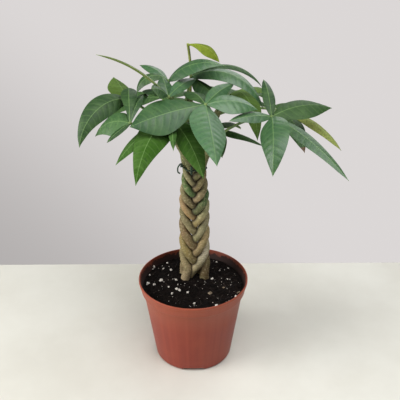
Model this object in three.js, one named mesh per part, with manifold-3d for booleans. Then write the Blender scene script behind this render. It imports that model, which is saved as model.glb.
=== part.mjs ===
// A potted money tree: five young plants braided together in a plastic nursery pot.
// Millimetres, +Z up. The origin is where the pot's axis meets the surface it stands on, and -Y is the front.
import * as THREE from "three";
import { mergeVertices } from "three/addons/utils/BufferGeometryUtils.js";
import Module from "manifold-3d";

const wasm = await Module();
wasm.setup();

// ---- driving dimensions ----
const GAP = 0.3; // clear space that touching pieces keep

const POT_HEIGHT = 98;
const RIM_RADIUS = 60;
const BASE_RADIUS = 42.5; // of the wall, where it would meet the ground
const POT_WALL = 1.5;
const COLLAR_DEPTH = 14;
const COLLAR_STEP = 2.4; // how far the collar stands out from the tapered wall
const FOOT_ROUND = 4; // radius of the rounded bottom edge
const FOOT_WIDTH = 6;
const PANEL_RISE = 3.4; // the floor between foot and centre pad is raised by this
const PAD_RADIUS = 11; // flat pad in the middle of the floor, level with the foot
const DRAIN_HOLES = 6;
const DRAIN_RADIUS = 4;
const DRAIN_CIRCLE = 24;
const FOOT_NOTCHES = 4;
const NOTCH_WIDTH = 27;
const NOTCH_HEIGHT = 3.4;
const POT_SEGMENTS = 32;

const SOIL_TOP = 90;
const SOIL_DOME = 1.5; // how much higher the soil is at its middle

const STRANDS = 5;
const STRAND_RADIUS = 5;
const TIED_RADIUS = 3.8; // of a strand at the tie
const BRAID_X = 1.6; // the braid stands a little to the right of the pot's axis and behind it
const BRAID_Y = 13;
const BRAID_HALF_WIDTH = 12;
const BRAID_HALF_DEPTH = 5.8;
const BRAID_PITCH = 94; // height in which a strand goes once round its figure of eight
const BRAID_LEAD = 32; // degrees by which a strand comes forward before it passes the middle
const BRAID_STRAIGHTNESS = 0.9; // 1 would take the strands straight from edge to edge
const BRAID_STEP = 5.6; // height from one point of a strand's course to the next
const CROSSING_Z = 122.8; // where the first strand passes the middle of the braid
const LOOSER_Z = 108; // below this the strands run straight down to their roots
const ROOT_EASE = 8; // height over which they ease out of the braid
const ROOT_SPLAY = [0, -5, 1, 0, -6.5]; // how far each root stands aside
const TIGHTER_Z = 160; // above this the braid is pulled tighter
const TIGHTENING = 0.005; // turns more in each millimetre
const TIGHTER_EASE = 14; // height over which that comes on
const GATHERED_BY = 0.24; // share of its width that the braid loses under the tie
const GATHERED_FROM_Z = 185;
const GATHERED_TO_Z = 222;
const ROOT_Z = 80; // the strands' lower ends, in the soil
const SLIMMER_Z = 120; // a strand is at its full radius up to here
const TIE_Z = 226;
const FREE_RADIUS = 3.4; // of a stem at its tip
const FREE_FROM = 0.7; // share of a stem's length from which it slims to that
const STEM_SIDES = 7;
const STEM_STEPS = 36;

const WIRE_RADIUS = 0.75;
const WIRE_SIDES = 5;
const BAND_TURNS = 18; // places at which the wire's way round the braid is set
const TWIST_TURNS = 2;
const TWIST_LENGTH = 8;
const TWIST_RADIUS = 0.68; // from the twist's axis to the middle of either wire
const TWIST_STEPS = 16;
const LOOP_STEPS = 16;

const STALK_RADIUS = 1.3; // leaf stalk, thicker at its foot
const STALK_SIDES = 5;
const STALK_STEPS = 6;
const HUB_RADIUS = 2;
const BLADE_STEPS = 6;
const BLADE_THICKNESS = 1.2; // at the midrib
const BLADE_FOOT = 0.9; // half the width that is left at a blade's foot and tip
const BLADE_FOLD = 14; // degrees that each half of a leaflet hangs from its midrib

// ---- colours ----
const look = (color, roughness) => new THREE.MeshStandardMaterial({ color, roughness, metalness: 0 });
const terracotta = look(0x9a4a38, 0.45);
const peat = look(0x2b211c, 1);
const bark = look(0x8d8460, 0.8);
const wireGreen = look(0x26331f, 0.5);
const leafGreen = look(0x4c7549, 0.45);
const deepGreen = look(0x35602c, 0.45);
const freshGreen = look(0x8ea43c, 0.5);

const group = new THREE.Group();

function place(name, geometry, material) {
  const mesh = new THREE.Mesh(geometry, material);
  mesh.name = name;
  group.add(mesh);
  return mesh;
}

// ---- joining and cutting ----
function toSolid(geometry) {
  const bare = geometry.clone();
  bare.deleteAttribute("normal");
  bare.deleteAttribute("uv");
  const welded = mergeVertices(bare, 1e-4);
  const vertProperties = new Float32Array(welded.attributes.position.array);
  const triVerts = new Uint32Array(welded.index.array);
  return new wasm.Manifold(new wasm.Mesh({ numProp: 3, vertProperties, triVerts }));
}

function toGeometry(solid) {
  const { vertProperties, triVerts } = solid.getMesh();
  const geometry = new THREE.BufferGeometry();
  geometry.setAttribute("position", new THREE.BufferAttribute(vertProperties, 3));
  geometry.setIndex(new THREE.BufferAttribute(triVerts, 1));
  return geometry;
}

// ---- a tube of changing radius: a capped cylinder laid along a curve ----
function tubeAlong(curve, radiusAt, sides, steps) {
  const tube = new THREE.CylinderGeometry(1, 1, 1, sides, steps);
  const frames = curve.computeFrenetFrames(steps);
  const position = tube.attributes.position;
  const point = new THREE.Vector3();
  for (let i = 0; i < position.count; i++) {
    const along = position.getY(i) + 0.5;
    const ring = Math.round(along * steps);
    const radius = radiusAt(along);
    curve.getPointAt(along, point);
    point.addScaledVector(frames.normals[ring], -position.getX(i) * radius);
    point.addScaledVector(frames.binormals[ring], position.getZ(i) * radius);
    position.setXYZ(i, point.x, point.y, point.z);
  }
  return tube;
}

// ---- pot ----
function wallRadius(z) {
  const top = RIM_RADIUS - COLLAR_STEP - 0.6;
  return BASE_RADIUS + ((top - BASE_RADIUS) * z) / POT_HEIGHT;
}

function potProfile() {
  const floorTop = PANEL_RISE + POT_WALL;
  const collarFoot = POT_HEIGHT - COLLAR_DEPTH;
  const collarInner = RIM_RADIUS - POT_WALL;
  const footInner = BASE_RADIUS - FOOT_WIDTH;
  const points = [
    [0, 0],
    [PAD_RADIUS, 0],
    [PAD_RADIUS + 1.5, PANEL_RISE],
    [footInner - 1.5, PANEL_RISE],
    [footInner, 0],
  ];
  const roundCentre = wallRadius(FOOT_ROUND) - FOOT_ROUND;
  for (let step = 0; step <= 3; step++) {
    const turn = (-Math.PI / 2) * (1 - step / 3);
    points.push([roundCentre + FOOT_ROUND * Math.cos(turn), FOOT_ROUND + FOOT_ROUND * Math.sin(turn)]);
  }
  points.push(
    [wallRadius(collarFoot), collarFoot],
    [wallRadius(collarFoot) + COLLAR_STEP, collarFoot + 0.8],
    [RIM_RADIUS, POT_HEIGHT - 1],
    [RIM_RADIUS - 0.5, POT_HEIGHT],
    [collarInner - 0.3, POT_HEIGHT],
    [wallRadius(collarFoot) + COLLAR_STEP - POT_WALL, collarFoot + 2.5],
    [wallRadius(collarFoot) - POT_WALL, collarFoot - 0.5],
    [wallRadius(floorTop) - POT_WALL, floorTop + 1.5],
    [wallRadius(floorTop) - POT_WALL - 1.5, floorTop],
    [0, floorTop],
  );
  return points.map(([r, z]) => new THREE.Vector2(r, z));
}

function potSolid() {
  let pot = toSolid(new THREE.LatheGeometry(potProfile(), POT_SEGMENTS).rotateX(Math.PI / 2));
  for (let hole = 0; hole < DRAIN_HOLES; hole++) {
    const turn = (2 * Math.PI * (hole + 0.5)) / DRAIN_HOLES;
    const drill = new THREE.CylinderGeometry(DRAIN_RADIUS, DRAIN_RADIUS, 20, 8).rotateX(Math.PI / 2);
    drill.translate(DRAIN_CIRCLE * Math.cos(turn), DRAIN_CIRCLE * Math.sin(turn), PANEL_RISE);
    pot = pot.subtract(toSolid(drill));
  }
  for (let notch = 0; notch < FOOT_NOTCHES; notch++) {
    const arch = new THREE.CylinderGeometry(1, 1, 2 * FOOT_WIDTH, 12).scale(NOTCH_WIDTH / 2, 1, NOTCH_HEIGHT);
    arch.translate(0, BASE_RADIUS - FOOT_WIDTH / 2, 0);
    arch.rotateZ((2 * Math.PI * notch) / FOOT_NOTCHES);
    pot = pot.subtract(toSolid(arch));
  }
  return pot;
}

place("pot", toGeometry(potSolid()), terracotta);

// ---- stems ----
// Each strand runs round a figure of eight as it climbs, so that on the front all of them slant outwards.
function strandPoint(strand, z) {
  const { smoothstep, degToRad } = THREE.MathUtils;
  const below = Math.max(0, LOOSER_Z - z);
  const above = Math.max(0, z - TIGHTER_Z);
  const climb = Math.max(z, LOOSER_Z) - ROOT_EASE * (1 - Math.exp(-below / ROOT_EASE)) - CROSSING_Z;
  const tightened = (TIGHTENING * above ** 2) / (above + TIGHTER_EASE);
  const turn = 2 * Math.PI * (climb / BRAID_PITCH + tightened + strand / STRANDS);
  const spread = 1 - GATHERED_BY * smoothstep(z, GATHERED_FROM_Z, GATHERED_TO_Z);
  const sideways = Math.asin(BRAID_STRAIGHTNESS * Math.sin(turn)) / Math.asin(BRAID_STRAIGHTNESS);
  const swing = Math.sin(2 * turn + degToRad(BRAID_LEAD));
  const forward = (2 * swing) / (1 + Math.abs(swing));
  const aside = ROOT_SPLAY[strand] * (1 - smoothstep(z, SOIL_TOP, LOOSER_Z));
  const x = BRAID_X + BRAID_HALF_WIDTH * spread * sideways + aside;
  const y = BRAID_Y - BRAID_HALF_DEPTH * Math.sqrt(spread) * forward;
  return new THREE.Vector3(x, y, z);
}

function strandRadius(z) {
  const { lerp, smoothstep } = THREE.MathUtils;
  return lerp(STRAND_RADIUS, TIED_RADIUS, smoothstep(z, SLIMMER_Z, TIE_Z));
}

// Where each stem goes above the tie, up to its tip.
const freeEnds = [
  [[12, 22, 246], [19, 26, 266], [28, 26, 286]],
  [[-8, 2, 244], [-15, -4, 262], [-24, -10, 280]],
  [[-10, 15, 246], [-14, 20, 268], [-18, 24, 288]],
  [[-2, 16, 250], [-3, 16, 276], [-3, 15, 302]],
  [[14, 2, 245], [20, -3, 264], [24, -12, 284]],
];

function stemCurve(strand) {
  const points = [];
  for (let z = ROOT_Z; z <= TIE_Z; z += BRAID_STEP) {
    points.push(strandPoint(strand, z));
  }
  for (const spot of freeEnds[strand]) {
    points.push(new THREE.Vector3(...spot));
  }
  return new THREE.CatmullRomCurve3(points);
}

const stemCurves = Array.from({ length: STRANDS }, (_, strand) => stemCurve(strand));

function stemTube(strand, extra) {
  const radiusAt = (along) => {
    const slim = THREE.MathUtils.smoothstep(along, FREE_FROM, 1);
    const radius = strandRadius(stemCurves[strand].getPointAt(along).z);
    return THREE.MathUtils.lerp(radius, FREE_RADIUS, slim) + extra;
  };
  return toSolid(tubeAlong(stemCurves[strand], radiusAt, STEM_SIDES, STEM_STEPS));
}

// The strands grew pressed into one another: each is hollowed where the next two cross it.
const fatStems = stemCurves.map((_, strand) => stemTube(strand, GAP));
for (let strand = 0; strand < STRANDS; strand++) {
  let stem = stemTube(strand, 0);
  stem = stem.subtract(fatStems[(strand + 1) % STRANDS]);
  stem = stem.subtract(fatStems[(strand + 2) % STRANDS]);
  place(`stem_${strand + 1}`, toGeometry(stem), bark);
}

// ---- twist tie ----
// The wire's place on the braid at one heading: against the outermost strand, which slants past it.
function bandPoint(turn) {
  const outward = new THREE.Vector3(Math.cos(turn), Math.sin(turn), 0);
  let farthest = -Infinity;
  const point = new THREE.Vector3();
  for (let strand = 0; strand < STRANDS; strand++) {
    const centre = strandPoint(strand, TIE_Z);
    const slant = strandPoint(strand, TIE_Z + 1).sub(strandPoint(strand, TIE_Z - 1)).divideScalar(2);
    slant.z = 0;
    const reach = TIED_RADIUS * Math.hypot(1, slant.dot(outward));
    if (centre.dot(outward) + reach > farthest) {
      farthest = centre.dot(outward) + reach;
      point.copy(centre).addScaledVector(outward, reach + WIRE_RADIUS + 2 * GAP);
    }
  }
  return point;
}

function wireAlong(points, steps) {
  const curve = new THREE.CatmullRomCurve3(points);
  return toSolid(tubeAlong(curve, () => WIRE_RADIUS, WIRE_SIDES, steps));
}

// Where the wire's loose end goes after it leaves the band, in one open loop.
const looseEnd = [
  [-12, 1, 232], [-10.5, -2, 236], [-12.5, -3, 237], [-15, -3, 233], [-15, -3, 228], [-12.8, -3, 226.5],
];

// The wire goes round the braid, its ends are twisted together in front, and one makes a loose loop.
function tieSolid() {
  const front = -Math.PI / 2;
  const band = [];
  for (let step = 0; step <= BAND_TURNS; step++) {
    band.push(bandPoint(front + (2 * Math.PI * step) / BAND_TURNS));
  }
  let tie = wireAlong(band.slice(0, -1), 2 * BAND_TURNS - 4);
  const knot = band[0].clone().add(new THREE.Vector3(0.4, -1.2, 1.5));
  for (const start of [0, Math.PI]) {
    const twist = [];
    for (let step = 0; step <= TWIST_STEPS; step++) {
      const turn = start + (2 * Math.PI * TWIST_TURNS * step) / TWIST_STEPS;
      const down = (TWIST_LENGTH * step) / TWIST_STEPS;
      const x = TWIST_RADIUS * Math.cos(turn);
      const y = TWIST_RADIUS * Math.sin(turn) - 0.04 * down;
      twist.push(knot.clone().add(new THREE.Vector3(x, y, 3.5 - down)));
    }
    tie = tie.add(wireAlong(twist, TWIST_STEPS));
  }
  const loop = [band[BAND_TURNS - 5]];
  for (const spot of looseEnd) {
    loop.push(new THREE.Vector3(...spot));
  }
  return tie.add(wireAlong(loop, LOOP_STEPS));
}

place("twist_tie", toGeometry(tieSolid()), wireGreen);

// ---- potting mix ----
function soilProfile() {
  const bottom = PANEL_RISE + POT_WALL + GAP;
  const inner = (z) => wallRadius(z) - POT_WALL - GAP;
  return [
    new THREE.Vector2(0, bottom),
    new THREE.Vector2(inner(bottom) - 2.2, bottom),
    new THREE.Vector2(inner(bottom + 3), bottom + 3),
    new THREE.Vector2(inner(SOIL_TOP - COLLAR_STEP), SOIL_TOP - COLLAR_STEP),
    new THREE.Vector2(inner(SOIL_TOP) - 2, SOIL_TOP),
    new THREE.Vector2(34, SOIL_TOP + SOIL_DOME * 0.6),
    new THREE.Vector2(0, SOIL_TOP + SOIL_DOME),
  ];
}

let soil = toSolid(new THREE.LatheGeometry(soilProfile(), POT_SEGMENTS).rotateX(Math.PI / 2));
for (const fatStem of fatStems) {
  soil = soil.subtract(fatStem);
}
place("potting_mix", toGeometry(soil), peat);

// ---- leaves ----
// A leaflet is a thin lens folded along its midrib. It leaves the hub at a heading (degrees from +X
// towards +Y) and a lift above the horizontal, and bends down evenly by its droop. Roll turns it about
// its own length, and belly says at what share of its length it is widest.
function leafletSolid(hub, [heading, length, width, lift, droop, roll, belly]) {
  const { degToRad } = THREE.MathUtils;
  const ahead = new THREE.Vector3(Math.cos(degToRad(heading)), Math.sin(degToRad(heading)), 0);
  const beside = new THREE.Vector3(ahead.y, -ahead.x, 0);
  const up = new THREE.Vector3(0, 0, 1);
  const bend = degToRad(droop);
  const blade = new THREE.CylinderGeometry(1, 1, 1, 4, BLADE_STEPS);
  const position = blade.attributes.position;
  const swell = Math.log(0.5) / Math.log(belly);
  for (let i = 0; i < position.count; i++) {
    const along = position.getY(i) + 0.5;
    const slope = degToRad(lift) - bend * along;
    const forward = (length / bend) * (Math.sin(degToRad(lift)) - Math.sin(slope));
    const rise = (length / bend) * (Math.cos(slope) - Math.cos(degToRad(lift)));
    const tangent = ahead.clone().multiplyScalar(Math.cos(slope)).addScaledVector(up, Math.sin(slope));
    const across = beside.clone().applyAxisAngle(tangent, -degToRad(roll));
    const outward = across.clone().cross(tangent);
    const halfWidth = BLADE_FOOT + (width / 2 - BLADE_FOOT) * Math.sin(Math.PI * along ** swell) ** 1.1;
    const side = position.getX(i) * halfWidth;
    const fall = Math.abs(side) * Math.sin(degToRad(BLADE_FOLD));
    const thick = position.getZ(i) * (BLADE_THICKNESS / 2) * (1.4 - 0.8 * along);
    const point = hub.clone().addScaledVector(ahead, forward).addScaledVector(up, rise);
    point.addScaledVector(across, side * Math.cos(degToRad(BLADE_FOLD)));
    point.addScaledVector(outward, thick - fall);
    position.setXYZ(i, point.x, point.y, point.z);
  }
  return toSolid(blade);
}

// One leaf: a stalk from its stem up to the hub, and the hand of leaflets round the hub.
function leafSolid({ stem, at, hub, bow, leaflets }) {
  const top = new THREE.Vector3(...hub);
  const foot = stemCurves[stem].getPointAt(at);
  const crook = foot.clone().lerp(top, 0.45).add(new THREE.Vector3(...bow));
  const route = new THREE.QuadraticBezierCurve3(foot, crook, top);
  const radiusAt = (along) => STALK_RADIUS * (1.5 - 0.5 * Math.min(1, along * 4));
  let leaf = toSolid(tubeAlong(route, radiusAt, STALK_SIDES, STALK_STEPS));
  leaf = leaf.add(toSolid(new THREE.IcosahedronGeometry(HUB_RADIUS, 0).translate(...hub)));
  for (const leaflet of leaflets) {
    leaf = leaf.add(leafletSolid(top, leaflet));
  }
  for (const fatStem of fatStems) {
    leaf = leaf.subtract(fatStem);
  }
  return leaf;
}

// at: how far up its stem a stalk leaves; bow: how far its bend stands off the straight way;
// leaflets: heading, length, width, lift, droop, roll and belly of each.
const leaves = [
  {
    // front centre, the widest and nearest hand
    stem: 4, at: 0.97, hub: [12, -50, 319], bow: [0, 0, 12], color: leafGreen,
    leaflets: [
      [191, 72, 37, -4, 18, 38, 0.57], [276, 83, 35, -8, 18, 19, 0.36], [7, 51, 28, 19, 56, -19, 0.48],
      [55, 50, 14, 22, 31, -38, 0.42], [116, 46, 18, 22, 52, 0, 0.5],
    ],
  },
  {
    // front left, small
    stem: 1, at: 0.9, hub: [-57, -52, 302], bow: [0, 0, 6], color: leafGreen,
    leaflets: [
      [95, 66, 16, 50, 77, 3, 0.59], [75, 63, 10, 42, 70, -3, 0.51], [164, 43, 29, 15, 82, 29, 0.34],
      [242, 39, 7, 4, 21, 2, 0.45],
    ],
  },
  {
    // far left, arching over
    stem: 1, at: 0.97, hub: [-62, -8, 308], bow: [0, 0, 8], color: leafGreen,
    leaflets: [
      [224, 79, 24, 26, 107, 38, 0.38], [118, 36, 27, 34, 26, -14, 0.45], [170, 46, 18, 10, 60, 0, 0.45],
    ],
  },
  {
    // upper left
    stem: 3, at: 0.88, hub: [-22, -35, 321], bow: [0, 0, 8], color: leafGreen,
    leaflets: [
      [109, 24, 16, 51, 32, -10, 0.46], [211, 22, 18, 62, 58, 29, 0.53], [53, 45, 12, 26, 39, -34, 0.48],
      [158, 82, 9, 48, 49, -40, 0.45], [125, 48, 18, 10, 40, 0, 0.45],
    ],
  },
  {
    // top, arching to the left and to the right
    stem: 2, at: 0.97, hub: [-23, -8, 327], bow: [0, 0, 4], color: leafGreen,
    leaflets: [
      [-10, 60, 22, 54, 71, -22, 0.38], [199, 42, 14, 54, 140, 16, 0.51], [150, 35, 14, 47, 58, 6, 0.48],
    ],
  },
  {
    // top right, drooping to the right
    stem: 2, at: 0.9, hub: [-1, 6, 326], bow: [0, 0, 4], color: leafGreen,
    leaflets: [
      [-17, 89, 22, 34, 107, -13, 0.35], [16, 85, 11, 34, 95, -13, 0.6], [20, 75, 26, 25, 90, 0, 0.45],
      [-42, 56, 26, -16, 22, 0, 0.45], [50, 80, 24, 10, 50, 0, 0.45],
    ],
  },
  {
    // right
    stem: 4, at: 0.9, hub: [73, -45, 305], bow: [0, 0, 14], color: leafGreen,
    leaflets: [
      [267, 75, 29, 19, 98, -25, 0.42], [24, 68, 30, 21, 46, -16, 0.46], [-47, 98, 15, -4, 32, -11, 0.36],
      [96, 51, 12, 51, 53, 1, 0.42], [202, 44, 14, 18, 30, 28, 0.41],
    ],
  },
  {
    // low right, behind the right hand
    stem: 0, at: 0.97, hub: [91, 15, 287], bow: [0, 0, 10], color: deepGreen,
    leaflets: [
      [-40, 75, 14, 5, 48, -2, 0.48], [-73, 62, 19, 7, 58, -2, 0.48], [35, 50, 18, 5, 40, 0, 0.45],
      [80, 70, 24, 5, 50, 0, 0.45],
    ],
  },
  {
    // low in the middle
    stem: 0, at: 0.82, hub: [23, 42, 256], bow: [0, 0, 2], color: deepGreen,
    leaflets: [[-15, 56, 17, 1, 31, 3, 0.36], [-82, 52, 18, 17, 60, 0, 0.45], [60, 70, 20, 5, 50, 0, 0.45]],
  },
  {
    // low, hanging in front of the braid's top
    stem: 1, at: 0.84, hub: [-20, -25, 294], bow: [0, 0, 4], color: deepGreen,
    leaflets: [
      [246, 93, 32, 21, 91, 10, 0.36], [228, 79, 17, 8, 48, 2, 0.46], [-65, 80, 22, 4, 55, -28, 0.5],
      [273, 60, 10, 32, 80, 0, 0.45], [-15, 38, 20, 0, 40, 0, 0.45],
    ],
  },
  {
    // back left
    stem: 2, at: 0.88, hub: [-32, 52, 288], bow: [0, 0, 6], color: deepGreen,
    leaflets: [
      [85, 85, 26, 5, 50, 0, 0.45], [135, 90, 28, 5, 50, 0, 0.45], [185, 75, 24, 5, 50, 0, 0.45],
      [45, 50, 18, 10, 40, 0, 0.45], [-28, 58, 22, 12, 40, 0, 0.45],
    ],
  },
  {
    // back right
    stem: 0, at: 0.9, hub: [40, 60, 286], bow: [0, 0, 6], color: deepGreen,
    leaflets: [
      [100, 90, 28, 5, 50, 0, 0.45], [55, 90, 28, 5, 50, 0, 0.45], [5, 50, 20, 5, 50, 0, 0.45],
      [150, 45, 18, 25, 40, 0, 0.45], [250, 46, 22, 30, 60, 0, 0.45], [292, 92, 24, 50, 140, 0, 0.5],
      [340, 50, 22, 50, 80, 0, 0.45],
    ],
  },
  {
    // the young one on top, not yet open
    stem: 3, at: 0.99, hub: [-4, 10, 357], bow: [4, 6, 0], color: freshGreen,
    leaflets: [[-21, 38, 17, 16, 80, -10, 0.56]],
  },
];

leaves.forEach((leaf, index) => {
  const name = `leaf_${String(index + 1).padStart(2, "0")}`;
  place(name, toGeometry(leafSolid(leaf)), leaf.color);
});

export default group;
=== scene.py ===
# A potted money tree: five young plants braided into one trunk, tied at the top, in a plastic nursery pot.
# Metres, +Z up. The origin is where the pot's axis meets the floor, and -Y is the front.
import bisect
import math
import random

import bpy
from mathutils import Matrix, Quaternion, Vector, kdtree, noise


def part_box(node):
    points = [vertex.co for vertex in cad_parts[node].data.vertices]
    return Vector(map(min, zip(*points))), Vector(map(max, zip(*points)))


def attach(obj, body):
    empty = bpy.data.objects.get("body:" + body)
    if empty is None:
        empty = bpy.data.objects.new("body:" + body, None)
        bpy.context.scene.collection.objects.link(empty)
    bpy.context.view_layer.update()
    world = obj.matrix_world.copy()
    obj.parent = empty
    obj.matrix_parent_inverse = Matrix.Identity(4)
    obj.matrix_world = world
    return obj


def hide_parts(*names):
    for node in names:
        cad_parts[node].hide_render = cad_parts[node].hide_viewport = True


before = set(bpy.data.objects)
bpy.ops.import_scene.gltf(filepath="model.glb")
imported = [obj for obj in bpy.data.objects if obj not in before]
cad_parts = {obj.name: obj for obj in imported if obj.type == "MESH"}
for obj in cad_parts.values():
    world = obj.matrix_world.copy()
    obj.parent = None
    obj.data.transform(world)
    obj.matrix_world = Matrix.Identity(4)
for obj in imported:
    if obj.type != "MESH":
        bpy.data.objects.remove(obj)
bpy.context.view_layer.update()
bpy.ops.object.select_all(action="DESELECT")

# ---- viewpoint ----
# The plant is looked at by someone standing in front of it, from a little above, through a short telephoto
# lens. Its colours are shown plainly, with no film look laid over them.
VIEW_PLACE = (0, -0.689, 0.565)
VIEW_TILT = math.radians(61.7)
VIEW_TURN = math.radians(-0.62)
LENS = 67.5
bpy.ops.object.camera_add(location=VIEW_PLACE, rotation=(VIEW_TILT, 0, VIEW_TURN))
viewpoint = bpy.context.object
viewpoint.name = "viewpoint"
viewpoint.data.lens = LENS
bpy.context.scene.camera = viewpoint
bpy.context.scene.view_settings.view_transform = "Standard"

# ---- daylight ----
# A pale room all round, darker low on the left, and dimmer as a light than its bare wall looks. A wide
# window stands on the left in front, a soft light hangs overhead on the right, and a weak one fills the back.
WALL_DARK = (0.44, 0.42, 0.415, 1)
WALL_LIGHT = (0.71, 0.68, 0.675, 1)
WALL_SWEEP = (0.8, 0, 1)
WALL_SWEEP_START = -0.78
WALL_SWEEP_END = -0.38
ROOM_LIGHT = (0.66, 0.68, 0.7, 1)
ROOM_STRENGTH = 0.22
room = bpy.data.worlds.new("room")
room.use_nodes = True
room_nodes = room.node_tree.nodes
wall = room_nodes["Background"]
dim = room_nodes.new("ShaderNodeBackground")
dim.inputs["Color"].default_value = ROOM_LIGHT
dim.inputs["Strength"].default_value = ROOM_STRENGTH
way = room_nodes.new("ShaderNodeTexCoord")
sweep = room_nodes.new("ShaderNodeVectorMath")
sweep.operation = "DOT_PRODUCT"
sweep.inputs[1].default_value = WALL_SWEEP
share = room_nodes.new("ShaderNodeMapRange")
share.interpolation_type = "SMOOTHSTEP"
share.inputs["From Min"].default_value = WALL_SWEEP_START
share.inputs["From Max"].default_value = WALL_SWEEP_END
tone = room_nodes.new("ShaderNodeMix")
tone.data_type = "RGBA"
tone.inputs[6].default_value = WALL_DARK
tone.inputs[7].default_value = WALL_LIGHT
seen = room_nodes.new("ShaderNodeLightPath")
either = room_nodes.new("ShaderNodeMixShader")
for source, target in (
    (way.outputs["Generated"], sweep.inputs[0]),
    (sweep.outputs["Value"], share.inputs["Value"]),
    (share.outputs[0], tone.inputs[0]),
    (tone.outputs[2], wall.inputs["Color"]),
    (seen.outputs["Is Camera Ray"], either.inputs[0]),
    (dim.outputs[0], either.inputs[1]),
    (wall.outputs[0], either.inputs[2]),
    (either.outputs[0], room_nodes["World Output"].inputs["Surface"]),
):
    room.node_tree.links.new(source, target)
bpy.context.scene.world = room


def area_light(name, place, aim, size, power, tint):
    """A square lamp at a place, turned to face its aim."""
    bpy.ops.object.light_add(type="AREA", location=place)
    light = bpy.context.object
    light.name = name
    light.rotation_euler = (Vector(aim) - Vector(place)).to_track_quat("-Z", "Y").to_euler()
    light.data.size = size
    light.data.energy = power
    light.data.color = tint


area_light("window", (-1.2, -0.42, 0.62), aim=(0, 0, 0.12), size=0.8, power=18, tint=(1, 0.992, 0.975))
area_light("overhead", (0.26, -0.5, 1.35), aim=(0, 0, 0.2), size=1.1, power=19, tint=(0.98, 0.985, 1))
area_light("back_fill", (0.5, 1.2, 0.9), aim=(0, 0, 0.2), size=1.1, power=7, tint=(0.98, 0.99, 1))


# ---- floor ----
# A plain pale stone top that the pot stands on. It ends a hand's breadth behind the plant, and it is scenery
# and no piece of the plant.
class Reading:
    """The output of a shader node, which sums like a number."""

    def __init__(self, finish, socket):
        self.finish = finish
        self.socket = socket

    def __add__(self, other):
        return self.finish.maths("ADD", self, other)

    def __sub__(self, other):
        return self.finish.maths("SUBTRACT", self, other)

    def __rsub__(self, other):
        return self.finish.maths("SUBTRACT", other, self)

    def __mul__(self, other):
        return self.finish.maths("MULTIPLY", self, other)

    def __pow__(self, other):
        return self.finish.maths("POWER", self, other)

    __radd__ = __add__
    __rmul__ = __mul__


class Finish:
    """A material as it is put together, node by node."""

    def __init__(self, name):
        self.material = bpy.data.materials.new(name)
        self.material.use_nodes = True
        self.tree = self.material.node_tree
        self.surface = self.tree.nodes["Principled BSDF"]

    def join(self, socket, value):
        """Links a reading to a socket, or sets a number, a vector or a pigment there."""
        if isinstance(value, Reading):
            self.tree.links.new(value.socket, socket)
        else:
            socket.default_value = pigment(value) if isinstance(value, str) else value

    def node(self, kind, settings=(), output=0, **sockets):
        made = self.tree.nodes.new("ShaderNode" + kind)
        for key, value in dict(settings).items():
            setattr(made, key, value)
        for key, value in sockets.items():
            self.join(made.inputs[key.replace("_", " ")], value)
        return Reading(self, made.outputs[output])

    def maths(self, operation, *values):
        made = self.node("Math", {"operation": operation})
        for index, value in enumerate(values):
            self.join(made.socket.node.inputs[index], value)
        return made

    def mix(self, share, first, second):
        made = self.node("Mix", {"data_type": "RGBA"}, output=2)
        for index, value in ((0, share), (6, first), (7, second)):
            self.join(made.socket.node.inputs[index], value)
        return made

    def part(self, vector, axis):
        return self.node("SeparateXYZ", output=axis, Vector=vector)

    def stretched(self, vector, factors):
        made = self.node("VectorMath", {"operation": "MULTIPLY"}, Vector=vector)
        self.join(made.socket.node.inputs[1], factors)
        return made

    def place(self):
        return self.node("TexCoord", output="Object")

    def attribute(self, name):
        return self.node("Attribute", {"attribute_name": name}, output="Fac")

    def noise(self, vector, scale, detail=2.0, roughness=0.5):
        return self.node("TexNoise", Vector=vector, Scale=scale, Detail=detail, Roughness=roughness)

    def step(self, value, low, high):
        smooth = {"interpolation_type": "SMOOTHSTEP"}
        return self.node("MapRange", smooth, Value=value, From_Min=low, From_Max=high)

    def feed(self, **sockets):
        """Joins values to the surface's sockets, named with low lines for their spaces."""
        for key, value in sockets.items():
            self.join(self.surface.inputs[key.replace("_", " ")], value)


def pigment(code):
    """A paint colour written as six hex digits, as the light that a surface of it throws back."""
    shares = [int(code[at : at + 2], 16) / 255 for at in (0, 2, 4)]
    return (*[s / 12.92 if s <= 0.04045 else ((s + 0.055) / 1.055) ** 2.4 for s in shares], 1)


FLOOR_BACK = 0.176
FLOOR_FRONT = -2
FLOOR_WIDTH = 4
stone = Finish("pale_stone")
cloud = stone.noise(stone.place(), 5, 5, 0.6)
stone.feed(
    Base_Color=stone.mix(stone.step(cloud, 0.35, 0.7), "cfccc1", "d9d7cd"),
    Roughness=0.55,
)
bpy.ops.mesh.primitive_plane_add(size=1)
floor = bpy.context.object
floor.name = floor.data.name = "floor"
for corner in floor.data.vertices:
    corner.co.x *= FLOOR_WIDTH
    corner.co.y = FLOOR_BACK if corner.co.y > 0 else FLOOR_FRONT
floor.data.materials.append(stone.material)

# ---- pot ----
# A nursery pot moulded in one piece in red-brown plastic: a tapered wall, a wider collar round its top, a
# rounded foot ring with four arched notches, and six drain holes through the raised floor. A pad in the
# middle of the floor stands as low as the foot. Its colour lightens towards the collar as painted light, and
# the inside of the wall is darkened with painted shade and peat, near black up to a ragged line below the
# rim.
POT_WALL = 0.0015
COLLAR_DEPTH = 0.014
COLLAR_STEP = 0.0024
BASE_RADIUS = 0.0425
FOOT_ROUND = 0.004
FOOT_WIDTH = 0.006
PANEL_RISE = 0.0034
PAD_RADIUS = 0.011
DRAIN_HOLES = 6
DRAIN_RADIUS = 0.004
DRAIN_CIRCLE = 0.024
FOOT_NOTCHES = 4
NOTCH_WIDTH = 0.024
NOTCH_HEIGHT = 0.0046
NOTCH_SQUARENESS = 4
POT_SIDES = 240
COINCIDENT = 1e-6
CROWDED = 0.00003
SLIVER = 0.00001
POT_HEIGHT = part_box("pot")[1].z
RIM_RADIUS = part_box("pot")[1].x


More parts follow.
